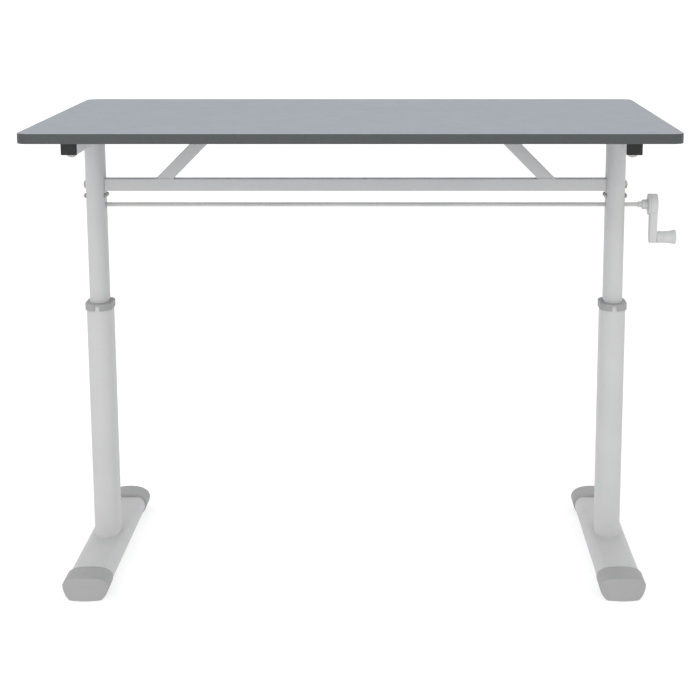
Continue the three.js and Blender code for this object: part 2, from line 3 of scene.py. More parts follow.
import bmesh
import bpy
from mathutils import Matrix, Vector


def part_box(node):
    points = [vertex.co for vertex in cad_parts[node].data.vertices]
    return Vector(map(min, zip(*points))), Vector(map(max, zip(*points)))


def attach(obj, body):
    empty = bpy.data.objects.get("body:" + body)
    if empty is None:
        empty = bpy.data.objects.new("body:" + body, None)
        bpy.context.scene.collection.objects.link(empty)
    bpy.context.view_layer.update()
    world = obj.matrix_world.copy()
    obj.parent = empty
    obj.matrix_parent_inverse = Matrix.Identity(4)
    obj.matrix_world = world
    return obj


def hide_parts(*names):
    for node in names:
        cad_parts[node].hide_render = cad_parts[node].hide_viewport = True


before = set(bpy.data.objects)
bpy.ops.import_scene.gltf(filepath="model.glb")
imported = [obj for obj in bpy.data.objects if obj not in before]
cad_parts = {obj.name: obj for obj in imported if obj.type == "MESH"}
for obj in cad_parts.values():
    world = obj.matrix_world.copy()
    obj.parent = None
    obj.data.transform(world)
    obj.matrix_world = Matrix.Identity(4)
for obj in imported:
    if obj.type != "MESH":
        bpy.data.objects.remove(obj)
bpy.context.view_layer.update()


# Camera: a long lens at standing eye height, looking a little down at the desk from the front,
# just right of the middle. The frame is cut off-centre, which the small shifts give.
camera_data = bpy.data.cameras.new("camera")
camera_data.lens = 87.75
camera_data.sensor_width = 36
camera_data.shift_x = -0.0703
camera_data.shift_y = -0.0589
camera = bpy.data.objects.new("camera", camera_data)
camera.location = (0.0632, -3.4237, 1.2348)
camera.rotation_euler = (math.radians(90 - 11.767), 0, 0)
bpy.context.scene.collection.objects.link(camera)
bpy.context.scene.camera = camera


# Foot tubes: flat-oval steel tube, one on each side, running front to back a few millimetres
# off the floor. Light grey powder coat over drawn tube, with the faint ripple that coat has.
def finish(name, roughness, metallic=0.0, specular=0.5):
    """A new material, its shader, and the piece's own coordinates in metres."""
    made = bpy.data.materials.new(name)
    made.use_nodes = True
    shader = made.node_tree.nodes["Principled BSDF"]
    shader.inputs["Roughness"].default_value = roughness
    shader.inputs["Metallic"].default_value = metallic
    shader.inputs["Specular IOR Level"].default_value = specular
    place = made.node_tree.nodes.new("ShaderNodeTexCoord").outputs["Object"]
    return made, shader, place


def stretch(made, place, x, y, z):
    """The piece's coordinates stretched, so that a pattern runs along one of its axes."""
    scaled = made.node_tree.nodes.new("ShaderNodeVectorMath")
    scaled.operation = "MULTIPLY"
    scaled.inputs[1].default_value = (x, y, z)
    made.node_tree.links.new(place, scaled.inputs[0])
    return scaled.outputs[0]


def noise(made, place, per_metre, detail=2.0, rough=0.5):
    """Cloudy noise, with so many blotches to the metre."""
    texture = made.node_tree.nodes.new("ShaderNodeTexNoise")
    texture.inputs["Scale"].default_value = per_metre
    texture.inputs["Detail"].default_value = detail
    texture.inputs["Roughness"].default_value = rough
    made.node_tree.links.new(place, texture.inputs["Vector"])
    return texture.outputs["Fac"]


def tint(made, shader, factor, dark, light):
    """Colour that goes from dark to light with a factor, over the part that noise fills."""
    ramp = made.node_tree.nodes.new("ShaderNodeValToRGB")
    ramp.color_ramp.elements[0].position = 0.3
    ramp.color_ramp.elements[0].color = (*dark, 1)
    ramp.color_ramp.elements[1].position = 0.7
    ramp.color_ramp.elements[1].color = (*light, 1)
    made.node_tree.links.new(factor, ramp.inputs["Fac"])
    made.node_tree.links.new(ramp.outputs["Color"], shader.inputs["Base Color"])


def vary_roughness(made, shader, factor, low, high):
    """Roughness that follows a factor between two values."""
    ranged = made.node_tree.nodes.new("ShaderNodeMapRange")
    ranged.inputs["From Min"].default_value = 0.3
    ranged.inputs["From Max"].default_value = 0.7
    ranged.inputs["To Min"].default_value = low
    ranged.inputs["To Max"].default_value = high
    made.node_tree.links.new(factor, ranged.inputs["Value"])
    made.node_tree.links.new(ranged.outputs["Result"], shader.inputs["Roughness"])


def emboss(made, shader, factor, height, strength=1.0):
    """Relief from a factor, with its real height in metres."""
    bump = made.node_tree.nodes.new("ShaderNodeBump")
    bump.inputs["Strength"].default_value = strength
    bump.inputs["Distance"].default_value = height
    made.node_tree.links.new(factor, bump.inputs["Height"])
    made.node_tree.links.new(bump.outputs["Normal"], shader.inputs["Normal"])


def powder_coat(name, shade, rubbed=(1, 1, 1)):
    """Stoved powder coat: orange-peel ripple, and a shade that hardly wanders. Rubbed draws its
    sheen out into streaks, as on a tube that slides."""
    made, shader, place = finish(name, 0.42, specular=0.25)
    tint(made, shader, noise(made, place, 9, 3), [shade * 0.965] * 3, [shade * 1.02] * 3)
    vary_roughness(made, shader, noise(made, stretch(made, place, *rubbed), 60, 2), 0.38, 0.5)
    emboss(made, shader, noise(made, place, 750, 2, 0.6), 0.00012, 0.5)
    return made


def rounded(width, height, corner, steps=8):
    """Outline of a rectangle with round corners, about its middle, as (across, up) pairs."""
    points = []
    for quarter, (sx, sy) in enumerate(((1, 1), (-1, 1), (-1, -1), (1, -1))):
        for step in range(steps + 1):
            angle = math.pi / 2 * (quarter + step / steps)
            across = sx * (width / 2 - corner) + corner * math.cos(angle)
            up = sy * (height / 2 - corner) + corner * math.sin(angle)
            points.append((across, up))
    return points


def loft(name, rings, closed=False):
    """A skin over rings of points. A closed one runs back to its first ring, as a tube's
    wall does, and an open one has a face at each end."""
    mesh = bpy.data.meshes.new(name)
    shape = bmesh.new()
    loops = [[shape.verts.new(point) for point in ring] for ring in rings]
    pairs = list(zip(loops, loops[1:]))
    if closed:
        pairs.append((loops[-1], loops[0]))
    else:
        shape.faces.new(reversed(loops[0]))
        shape.faces.new(loops[-1])
    for lower, upper in pairs:
        for index in range(len(lower)):
            after = (index + 1) % len(lower)
            shape.faces.new((lower[index], lower[after], upper[after], upper[index]))
    bmesh.ops.remove_doubles(shape, verts=shape.verts, dist=1e-7)
    bmesh.ops.recalc_face_normals(shape, faces=shape.faces)
    shape.to_mesh(mesh)
    shape.free()
    piece = bpy.data.objects.new(name, mesh)
    bpy.context.scene.collection.objects.link(piece)
    return piece


def along_y(outline, y, x, z):
    """An outline facing front to back at y; x and z are its middle."""
    return [Vector((x + across, y, z + up)) for across, up in outline]


def along_z(outline, z, x, y=0.0):
    """An outline lying flat at height z."""
    return [Vector((x + across, y + up, z)) for across, up in outline]


def along_x(outline, x, y, z):
    """An outline facing sideways at x."""
    return [Vector((x, y + across, z + up)) for across, up in outline]


def tube(name, place, outer, inner, low, high, *where):
    """An open tube between low and high; place is along_x, along_y or along_z."""
    wall = ((outer, low), (outer, high), (inner, high), (inner, low))
    return loft(name, [place(outline, at, *where) for outline, at in wall], closed=True)


def soften(piece, edge, sharp=35):
    """Smooth faces, and edges sharper than that many degrees rounded off by edge metres."""
    for face in piece.data.polygons:
        face.use_smooth = True
    if edge:
        bevel = piece.modifiers.new("edges", "BEVEL")
        bevel.width = edge
        bevel.segments = 3
        bevel.limit_method = "ANGLE"
        bevel.angle_limit = math.radians(sharp)
        bevel.harden_normals = True


def fasten(piece, body, slot, material, *nodes, edge=0.0004):
    """Gives a piece its finish, fixes it to its moving group and hides the plain parts it stands
    in for.
    """
    piece.data.materials.clear()
    piece.data.materials.append(material)
    soften(piece, edge)
    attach(piece, body)
    if nodes:
        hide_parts(*nodes)


def middle(node):
    """Where the middle of a node is, and its three sizes."""
    low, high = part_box(node)
    return (low + high) / 2, high - low


sides = {"left": -1, "right": 1}
frame_shade = 0.55
coat = powder_coat("light_grey_coat", frame_shade)
foot_wall = 0.002
foot_corner = 0.018
foot_steps = 12
for side in sides:
    centre, size = middle(f"foot_tube_{side}")
    outer = rounded(size.x, size.z, foot_corner, foot_steps)
    inner = rounded(size.x - 2 * foot_wall, size.z - 2 * foot_wall, foot_corner - foot_wall,
                    foot_steps)
    piece = tube(f"foot_tube_{side}_skin", along_y, outer, inner,
                 centre.y - size.y / 2, centre.y + size.y / 2, centre.x, centre.z)
    fasten(piece, "base", "painted_steel", coat, f"foot_tube_{side}")


# Foot caps: mid grey moulded caps pushed over the four ends of the feet. Their low crowns stand
# a little proud of the tube, their ends are gently bowed, and their flat soles take the weight.
def moulding(name, shade, grain=1500, depth=0.00006, hue=(1, 1, 1)):
    """Moulded plastic from a spark-eroded tool: very fine even grain, soft sheen."""
    made, shader, place = finish(name, 0.55, specular=0.45)
    dark, light = ([shade * part * change for part in hue] for change in (0.98, 1.02))
    tint(made, shader, noise(made, place, 300, 3), dark, light)
    vary_roughness(made, shader, noise(made, place, 90, 2), 0.5, 0.62)
    emboss(made, shader, noise(made, place, grain, 3, 0.7), depth, 0.6)
    return made


def curve(points, steps):
    """Points along a quadratic or cubic Bezier curve, without its last one."""
    found = []
    for step in range(steps):
        share = step / steps
        level = [Vector(point) for point in points]
        while len(level) > 1:
            level = [a.lerp(b, share) for a, b in zip(level, level[1:])]
        found.append(level[0])
    return found


def reach_along(ray, corners, least=0.0):
    """How far a ray from the origin goes before it leaves the line through some corners."""
    farthest = least
    for a, b in zip(corners, corners[1:]):
        edge = b - a
        across = ray.x * edge.y - ray.y * edge.x
        if abs(across) < 1e-12:
            continue
        reach = (a.x * edge.y - a.y * edge.x) / across
        share = (a.x * ray.y - a.y * ray.x) / across
        if reach > farthest and -1e-6 <= share <= 1 + 1e-6:
            farthest = reach
    return farthest


def round_the_clock(outline, centre, count):
    """The outline's points seen from its centre at even angles, so that a skin can join it
    to another outline."""
    corners = [Vector(point) - centre for point in outline + outline[:1]]
    found = []
    for index in range(count):
        angle = 2 * math.pi * index / count
        ray = Vector((math.cos(angle), math.sin(angle)))
        found.append(centre + ray * reach_along(ray, corners))
    return found


def inset(outline, amount):
    """The outline drawn in by an amount, each point square to its neighbours."""
    found = []
    for index, point in enumerate(outline):
        run = outline[(index + 1) % len(outline)] - outline[index - 1]
        inward = Vector((-run.y, run.x)).normalized()
        found.append(point + inward * amount)
    return found


def quarter_turn(steps):
    """Cosine and sine at even steps of a quarter turn, for a rounded edge."""
    turns = [math.pi / 2 * step / steps for step in range(steps + 1)]
    return [(math.cos(turn), math.sin(turn)) for turn in turns]


def rounding(point):
    """How much of the nose's round a point takes: little at the sole, all of it higher up."""
    return min(1, 0.25 + point.y / 0.02)


ends = {"front": -1, "rear": 1}
cap_grey = moulding("foot_cap_grey", 0.355)
sole_half = 0.031
sole_edge = 0.0006
sole_flare = 0.0005
widest_share = 0.62
belly = 0.0025
belly_rise = 0.35
shoulder = 0.016
shoulder_rise = 0.0018
shoulder_start = 0.006
shoulder_bend = 0.001
crown_run = 0.42
cap_nose = 0.012
cap_round = 0.003
cap_rim = 0.0008
cap_wall = 0.008
cap_points = 96
socket_gap = 0.0003
heart = Vector((0, 0.024))
for side in sides:
    tube_centre, tube_size = middle(f"foot_tube_{side}")
    for end, way in ends.items():
        node = f"foot_cap_{end}_{side}"
        low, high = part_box(node)
        half = (high.x - low.x) / 2
        top = tube_centre.z + tube_size.z / 2
        sole = (sole_half, 0)
        side_start = (sole_half + sole_flare, sole_edge)
        widest = (half, top * widest_share)
        shoulder_end = (half - shoulder, top + shoulder_rise)
        right = (curve([(sole_half - sole_edge, 0), sole, side_start], 3)
                 + curve([side_start, (half - belly, widest[1] * belly_rise), widest], 8)
                 + curve([widest, (half, top - shoulder_start),
                          (half - shoulder / 2, top - shoulder_bend), shoulder_end], 10)
                 + curve([shoulder_end, (half * crown_run, high.z), (0, high.z)], 8))
        left = [Vector((-p.x, p.y)) for p in reversed(right)]
        outline = round_the_clock(right + [Vector((0, high.z))] + left, heart, cap_points)
        mouth = rounded(tube_size.x + 2 * socket_gap, tube_size.z + 2 * socket_gap,
                        foot_corner + socket_gap)
        socket = round_the_clock([(a, b + tube_centre.z) for a, b in mouth], heart, cap_points)
        length = high.y - low.y
        rim_y = low.y if way > 0 else high.y
        depth = length - cap_nose - cap_wall
        rings = [[(p, depth, 0) for p in socket], [(p, 0, 0) for p in socket],
                 [(p, 0, 0) for p in inset(outline, cap_rim)], [(p, cap_rim, 0) for p in outline]]
        rings += [[(p, 0, share) for p in outline] for share in (0.2, 0.45, 0.7, 0.9)]
        for cosine, sine in quarter_turn(4):
            drawn_in = inset(outline, cap_round * (1 - cosine))
            rings.append([(p.lerp(q, rounding(p)), -cap_round * rounding(p) * (1 - sine), 1)
                          for p, q in zip(outline, drawn_in)])
        face = [p.lerp(q, rounding(p)) for p, q in zip(outline, inset(outline, cap_round))]
        for share in (0.9, 0.75, 0.6, 0.45, 0.3, 0.15):
            rings.append([(heart + (p - heart) * share, 0, 1) for p in face])
        bowed = []
        for ring in rings:
            bowed.append([Vector((tube_centre.x + p.x, 0, p.y)) for p, _, _ in ring])
            for point, (p, fixed, share) in zip(bowed[-1], ring):
                reach = length - cap_nose * (p.x / half) ** 2
                point.y = rim_y + way * (fixed + share * reach)
        piece = loft(f"{node}_moulding", bowed)
        fasten(piece, "base", "grey_plastic", cap_grey, node, edge=0)
        piece.data.set_sharp_from_angle(angle=math.radians(50))


# Outer columns: flat-sided oval steel tube welded upright on each foot, coated with it.
# A fine rippled weld bead runs round the bottom, under the same coat.
def oval(width, depth, steps=20):
    """Outline with two flat sides and two half-round ends, long way along Y."""
    radius = width / 2
    reach = depth / 2 - radius
    points = []
    for end, start in ((1, 0.0), (-1, math.pi)):
        for step in range(steps + 1):
            angle = start + math.pi * step / steps
            points.append((radius * math.cos(angle), end * reach + radius * math.sin(angle)))
    return points


def weld(name, path, bead, closed=True):
    """A bead of weld along a path, with the ripple that each dab of the torch leaves."""
    rings = []
    count = len(path)
    around = 8
    for index, here in enumerate(path):
        after = path[(index + 1) % count] if closed else path[min(index + 1, count - 1)]
        before = path[index - 1] if closed else path[max(index - 1, 0)]
        run = (after - before).normalized()
        lift = Vector((0, 0, 1)) if abs(run.z) < 0.9 else Vector((1, 0, 0))
        outward = run.cross(lift).normalized()
        lift = outward.cross(run)
        swell = bead * (1 + 0.12 * math.sin(index * 2.1))
        rings.append([here + outward * (swell * math.cos(math.tau * step / around))
                      + lift * (swell * 0.8 * math.sin(math.tau * step / around))
                      for step in range(around)])
    return loft(name, rings, closed=closed)


column_wall = 0.002
weld_proud = 0.001
column_bead = 0.0018
for side in sides:
    centre, size = middle(f"outer_column_{side}")
    outer = oval(size.x, size.y)
    inner = oval(size.x - 2 * column_wall, size.y - 2 * column_wall)
    piece = tube(f"outer_column_{side}_skin", along_z, outer, inner,
                 centre.z - size.z / 2, centre.z + size.z / 2, centre.x)
    fasten(piece, "base", "painted_steel", coat, f"outer_column_{side}")

    foot_line = along_z(oval(size.x + weld_proud, size.y + weld_proud, 60),
                        centre.z - size.z / 2, centre.x)
    bead = weld(f"column_weld_{side}", foot_line, column_bead)
    fasten(bead, "base", "painted_steel", coat, edge=0)


# Column collars: grey moulded rings that cap the columns and guide the inner tubes. A thin top
# plate lies on the column's rim, a skirt hangs outside it with a slot at the front, and a long
# sleeve goes down inside.
def drill(piece, *cutters):
    """Cuts the shapes out of a piece and takes them away."""
    for cutter in cutters:
        cut = piece.modifiers.new("cut", "BOOLEAN")
        cut.object = cutter
        cut.operation = "DIFFERENCE"
        cut.solver = "EXACT"
    bpy.context.view_layer.update()
    seen = piece.evaluated_get(bpy.context.evaluated_depsgraph_get())
    made = bpy.data.meshes.new_from_object(seen)
    piece.modifiers.clear()
    piece.data = made
    for cutter in cutters:
        bpy.data.objects.remove(cutter)


collar_grey = moulding("collar_grey", 0.335)
slide_gap = 0.0003
skirt_height = 0.014
top_plate = 0.0027
skirt_round = 0.0012
hole_lead = 0.0005
notch_width = 0.010
notch_depth = 0.008
notch_corner = 0.0015
notch_roof = 0.001
overrun = 0.001
for side in sides:
    node = f"column_collar_{side}"
    column, column_size = middle(f"outer_column_{side}")
    inner_size = middle(f"inner_tube_{side}")[1]
    low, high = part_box(node)
    skirt_low = high.z - skirt_height
    plate_low = high.z - top_plate
    sleeve_wide = column_size.x - 2 * (column_wall + slide_gap)
    sleeve_deep = column_size.y - 2 * (column_wall + slide_gap)
    profile = [(high.x - low.x, high.y - low.y, skirt_low)]
    for cosine, sine in quarter_turn(4):
        drawn = 2 * skirt_round * (1 - cosine)
        profile.append((high.x - low.x - drawn, high.y - low.y - drawn,
                        high.z - skirt_round * (1 - sine)))
    hole_wide = inner_size.x + 2 * slide_gap
    hole_deep = inner_size.y + 2 * slide_gap
    profile += [(hole_wide + 2 * hole_lead, hole_deep + 2 * hole_lead, high.z),
                (hole_wide, hole_deep, high.z - hole_lead),
                (hole_wide, hole_deep, low.z),
                (sleeve_wide, sleeve_deep, low.z),
                (sleeve_wide, sleeve_deep, plate_low),
                (column_size.x + 2 * slide_gap, column_size.y + 2 * slide_gap, plate_low),
                (column_size.x + 2 * slide_gap, column_size.y + 2 * slide_gap, skirt_low)]
    piece = loft(f"{node}_moulding", [along_z(oval(wide, deep, 24), z, column.x)
                                      for wide, deep, z in profile], closed=True)
    notch = loft("notch", [along_z(rounded(notch_width, notch_depth, notch_corner), z,
                                   column.x, low.y)
                           for z in (skirt_low - 2 * overrun, plate_low - notch_roof)])
    drill(piece, notch)
    fasten(piece, "base", "grey_plastic", collar_grey, node, edge=0.0003)


# Inner tubes: flat-sided oval tube with the same coat, sliding in the columns. Holes let the
# drive rod through, and short beads of weld hold each tube under its rail.
def circle(radius, count=48):
    """Outline of a round bar or hole."""
    turns = [math.tau * step / count for step in range(count)]
    return [(radius * math.cos(turn), radius * math.sin(turn)) for turn in turns]


rod, rod_size = middle("drive_rod")
sliding_coat = powder_coat("sliding_coat", frame_shade, rubbed=(14, 14, 0.15))
tube_wall = 0.0015
rod_hole_radius = 0.0063
cutter_reach = 0.03
rail_bead = 0.0016
bead_sink = 0.0002
bead_end = 0.0005
for side in sides:
    node = f"inner_tube_{side}"
    centre, size = middle(node)
    piece = tube(f"{node}_skin", along_z, oval(size.x, size.y, 24),
                 oval(size.x - 2 * tube_wall, size.y - 2 * tube_wall, 24),
                 centre.z - size.z / 2, centre.z + size.z / 2, centre.x)
    drill(piece, loft("rod_hole", [along_x(circle(rod_hole_radius, 32), centre.x + reach, 0, rod.z)
                                   for reach in (-cutter_reach, cutter_reach)]))
    fasten(piece, "top_frame", "painted_steel", sliding_coat, node, edge=0.0003)

    rail_low, rail_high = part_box(f"side_rail_{side}")
    joint = along_z(oval(size.x - weld_proud, size.y - weld_proud, 40),
                    rail_low.z - bead_sink, centre.x)
    under_rail = (rail_high.x - rail_low.x) / 2 - bead_end
    for end, way in ends.items():
        arc = [point for point in joint
               if abs(point.x - centre.x) < under_rail and point.y * way > 0]
        bead = weld(f"rail_weld_{end}_{side}", arc, rail_bead, closed=False)
        fasten(bead, "top_frame", "painted_steel", coat, edge=0)


# Side rails: square tube with tight rolled corners, one over each column, screwed up against
# the board. Same light grey coat.
rail_wall = 0.0015
rolled_corner = 0.0022
rolled_inside = 0.0008
for side in sides:
    node = f"side_rail_{side}"
    centre, size = middle(node)
    piece = tube(f"{node}_skin", along_y, rounded(size.x, size.z, rolled_corner),
                 rounded(size.x - 2 * rail_wall, size.z - 2 * rail_wall, rolled_inside),
                 centre.y - size.y / 2, centre.y + size.y / 2, centre.x, centre.z)
    fasten(piece, "top_frame", "painted_steel", coat, node, edge=0.0002)


# Rail end caps: black moulded plugs, pressed into the rails. The face is square with wide
# chamfers and a slightly dished middle, and the plug behind has a lead-in.
cap_black = moulding("rail_cap_black", 0.016, grain=1800)
cap_chamfer = 0.0016
cap_corner = 0.0015
cap_dish = 0.00025
dish_margin = 0.002
cap_clear = 0.0001
plug_gap = 0.0003
lead_in = 0.001
for side in sides:
    rail, rail_size = middle(f"side_rail_{side}")
    for end, way in ends.items():
        node = f"rail_cap_{end}_{side}"
        low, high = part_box(node)
        outer_y = low.y if way < 0 else high.y
        plug_y = high.y if way < 0 else low.y
        wide = high.x - low.x
        tall = high.z - low.z
        slack = 2 * (rail_wall + plug_gap)
        rim = way * rail_size.y / 2
        steps = [(slack + 2 * lead_in, plug_y), (slack, plug_y + way * lead_in),
                 (slack, rim), (0, rim + way * cap_clear),
                 (0, outer_y - way * cap_chamfer), (2 * cap_chamfer, outer_y),
                 (2 * (cap_chamfer + dish_margin), outer_y - way * cap_dish)]
        rings = [along_y(rounded(wide - less, tall - less, cap_corner), y,
                         rail.x, (low.z + high.z) / 2) for less, y in steps]
        piece = loft(f"{node}_moulding", rings)
        fasten(piece, "top_frame", "black_plastic", cap_black, node, edge=0.00025)


# Board: particle board faced with a cool grey melamine, and lipped all round with a darker
# grey edging strip that stands flush. Fine print speckle and the pearl grain of the press plate.
laminate, shader, place = finish("melamine_face", 0.48, specular=0.25)
speckle = noise(laminate, place, 1400, 2, 0.7)
cloud = noise(laminate, place, 180, 3)
print_pattern = laminate.node_tree.nodes.new("ShaderNodeMix")
print_pattern.inputs["Factor"].default_value = 0.35
laminate.node_tree.links.new(speckle, print_pattern.inputs["A"])
laminate.node_tree.links.new(cloud, print_pattern.inputs["B"])
tint(laminate, shader, print_pattern.outputs["Result"],
     (0.296, 0.328, 0.365), (0.321, 0.355, 0.395))
vary_roughness(laminate, shader, noise(laminate, place, 30, 3), 0.5, 0.58)
emboss(laminate, shader, noise(laminate, place, 2200, 2, 0.6), 0.00004, 0.4)

board, board_size = middle("desktop")
band, band_size = middle("edge_band")
board_corner = 0.0209
board_steps = 24
face = rounded(board_size.x, board_size.y, board_corner, board_steps)
piece = loft("board", [along_z(face, z, board.x)
                       for z in (board.z - board_size.z / 2, board.z + board_size.z / 2)])
fasten(piece, "top_frame", "laminate_board", laminate, "desktop", edge=0.00015)

edging = moulding("edging_strip", 0.062, grain=900, depth=0.00004, hue=(0.97, 1.06, 1.09))
band_thick = 0.001
band_corner = 0.022
piece = tube("edging", along_z, rounded(band_size.x, band_size.y, band_corner, board_steps),
             rounded(band_size.x - 2 * band_thick, band_size.y - 2 * band_thick,
                     band_corner - band_thick, board_steps),
             band.z - band_size.z / 2, band.z + band_size.z / 2, band.x)
fasten(piece, "top_frame", "edge_band", edging, "edge_band", edge=0.0004)


# Crossbar: square steel tube that keeps the two legs apart, coated like them. It is held at
# each end by one bolt, put through the inner tube from outside.
bar, bar_size = middle("crossbar")
section = rounded(bar_size.y, bar_size.z, rolled_corner)
piece = loft("crossbar_skin", [along_x(section, x, 0, bar.z)
                               for x in (bar.x - bar_size.x / 2, bar.x + bar_size.x / 2)])
fasten(piece, "top_frame", "painted_steel", coat, "crossbar", edge=0.0002)


# Braces: the same square tube, cut at 45 degrees at both ends, welded on the crossbar below and
# to a small plate above. The plate is screwed to the board.
plate_thick = 0.003
plate_corner = 0.003
brace_bead = 0.0014
straight = 0.003
dabs = 6
for side, sign in sides.items():
    node = f"brace_{side}"
    low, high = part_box(node)
    plate_z = high.z - plate_thick
    run = bar_size.y * math.sqrt(2)
    rise = plate_z - low.z
    foot_edge = low.x if side == "left" else high.x
    foot_centre = foot_edge - sign * run / 2
    cut_end = rounded(run, bar_size.y, rolled_corner)
    piece = loft(f"{node}_tube", [along_z(cut_end, z, foot_centre - sign * (z - low.z))
                                  for z in (low.z, plate_z)])
    fasten(piece, "top_frame", "painted_steel", coat, node, edge=0.0002)

    head_centre = foot_centre - sign * rise
    head_edge = high.x if side == "left" else low.x
    plate_long = 2 * abs(head_edge - head_centre)
    flat = rounded(plate_long, high.y - low.y, plate_corner)
    plate = loft(f"{node}_plate", [along_z(flat, z, head_centre) for z in (plate_z, high.z)])
    fasten(plate, "top_frame", "painted_steel", coat, edge=0.0004)

    for place_name, level, middle_x in (("foot", low.z, foot_centre),
                                        ("head", plate_z, head_centre)):
        path = along_z(rounded(run, bar_size.y, rolled_corner, 4), level, middle_x)
        dense = [a.lerp(b, dab / dabs) for a, b in zip(path, path[1:] + path[:1])
                 if (b - a).length > straight for dab in range(dabs)]
        bead = weld(f"{node}_weld_{place_name}", dense, brace_bead)
        fasten(bead, "top_frame", "painted_steel", coat, edge=0)


# Bolts and screws: bright zinc plate on steel, slightly yellow, with the dull bloom that plating
# takes. Low domed heads on a thin flange, each with a hexagon socket.
def plated(name, dark, light, roughness):
    """Bright zinc plate: metal, with patches of dull bloom and fine turning marks."""
    made, shader, place = finish(name, roughness, metallic=1.0)
    tint(made, shader, noise(made, place, 160, 3), dark, light)
    vary_roughness(made, shader, noise(made, place, 420, 3), roughness * 0.8, roughness * 1.3)
    emboss(made, shader, noise(made, stretch(made, place, 1, 1, 12), 500, 2), 0.00003, 0.4)
    return made


def six_sided(radius, count=48):
    """A hexagon with as many points as a circle, so that one can turn into the other."""
    points = []
    for step in range(count):
        angle = math.tau * step / count
        reach = radius * math.cos(math.pi / 6) / math.cos((angle % (math.pi / 3)) - math.pi / 6)
        points.append((reach * math.cos(angle), reach * math.sin(angle)))
    return points


def stack(name, origin, way, layers, closed=False):
    """Outlines stood one above another from origin, in the direction of way."""
    turn = Vector(way).to_track_quat("Z", "X")
    return loft(name, [[origin + turn @ Vector((a, b, height)) for a, b in outline]
                       for outline, height in layers], closed)


def domed_bolt(name, origin, way, head, rise, shank, length, socket):
    """A bolt with a domed head standing up from origin and its shank going down behind it.
    Head, shank and socket are radii."""
    layers = [(circle(shank * 0.8), -length), (circle(shank), -length + shank * 0.3),
              (circle(shank), 0)]
    flange = ((0.97, 0), (1, 0.05), (1, 0.13), (0.97, 0.18))
    layers += [(circle(head * wide), rise * up) for wide, up in flange]
    for step in range(1, 8):
        angle = math.pi / 2 * step / 8 * 0.86
        layers.append((circle(head * 0.93 * math.cos(angle)),
                       rise * (0.2 + 0.8 * math.sin(angle))))
    top = layers[-1][1]
    socket_depth = rise * 0.55
    layers += [(six_sided(socket * 1.12), top + rise * 0.01),
               (six_sided(socket), top - rise * 0.08),
               (six_sided(socket), top - socket_depth),
               (six_sided(socket * 0.3), top - socket_depth * 1.15)]
    bolt = stack(name, origin, way, layers)
    bolt.data.set_sharp_from_angle(angle=math.radians(40))
    return bolt


def set_bolt(node, origin, way, head, rise, shank, length, socket, plating):
    """Puts a turned bolt in the place of one of the moving frame's plain ones."""
    piece = domed_bolt(f"{node}_turned", origin, way, head, rise, shank, length, socket)
    fasten(piece, "top_frame", "zinc_plated_steel", plating, node, edge=0)


def side_bolt(node, outward, rise, radius):
    """A bolt put in from the side, with a socket as wide as its shank."""
    centre, size = middle(node)
    low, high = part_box(node)
    under_head = high.x - rise if outward > 0 else low.x + rise
    set_bolt(node, Vector((under_head, centre.y, centre.z)), (outward, 0, 0), size.y / 2,
             rise, radius, size.x - rise, radius, zinc)


zinc = plated("zinc_plate", (0.34, 0.337, 0.325), (0.46, 0.456, 0.44), 0.3)
pale_zinc = plated("bright_zinc_plate", (0.5, 0.5, 0.49), (0.6, 0.6, 0.59), 0.34)
rail_gap = 0.0001
rail_bolt_radius = 0.003
wood_screw_rise = 0.0025
wood_screw_radius = 0.002
wood_screw_socket = 0.0016
for side, sign in sides.items():
    for end in ends:
        node = f"rail_bolt_{end}_{side}"
        centre, size = middle(node)
        low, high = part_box(node)
        seat = Vector((centre.x, centre.y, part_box(f"side_rail_{side}")[0].z - rail_gap))
        set_bolt(node, seat, (0, 0, -1), size.x / 2, seat.z - low.z, rail_bolt_radius,
                 high.z - seat.z, rail_bolt_radius, pale_zinc)
    for spot in ("inner", "outer"):
        node = f"brace_screw_{spot}_{side}"
        centre, size = middle(node)
        low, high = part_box(node)
        seat = Vector((centre.x, centre.y, low.z + wood_screw_rise))
        set_bolt(node, seat, (0, 0, -1), size.x / 2, wood_screw_rise, wood_screw_radius,
                 high.z - seat.z, wood_screw_socket, zinc)
    side_bolt(f"crossbar_bolt_{side}", sign, rise=0.006, radius=0.003)
    for face, outward in (("inner", -sign), ("outer", sign)):
        for end in ends:
            side_bolt(f"gearbox_screw_{face}_{end}_{side}", outward, rise=0.0045, radius=0.002)


# Drive rod: bright drawn hexagon bar, 8 mm across its flats, from the left-hand gearbox to the
# crank. It keeps its draw lines and has a thin film of oil.
drawn, shader, place = finish("drawn_steel", 0.5, metallic=0.55)
lines = noise(drawn, stretch(drawn, place, 0.02, 1, 1), 2600, 3, 0.7)
tint(drawn, shader, noise(drawn, stretch(drawn, place, 0.1, 1, 1), 90, 3),
     (0.56, 0.556, 0.54), (0.64, 0.635, 0.62))
vary_roughness(drawn, shader, lines, 0.4, 0.6)
emboss(drawn, shader, lines, 0.00002, 0.5)
rod_end = rod.x + rod_size.x / 2
hexagon = six_sided(rod_size.y / 2, 6)
piece = loft("drive_rod_bar", [along_x(hexagon, x, 0, rod.z)
                               for x in (rod.x - rod_size.x / 2, rod_end)])
fasten(piece, "crank", "bright_steel", drawn, "drive_rod", edge=0.0004)


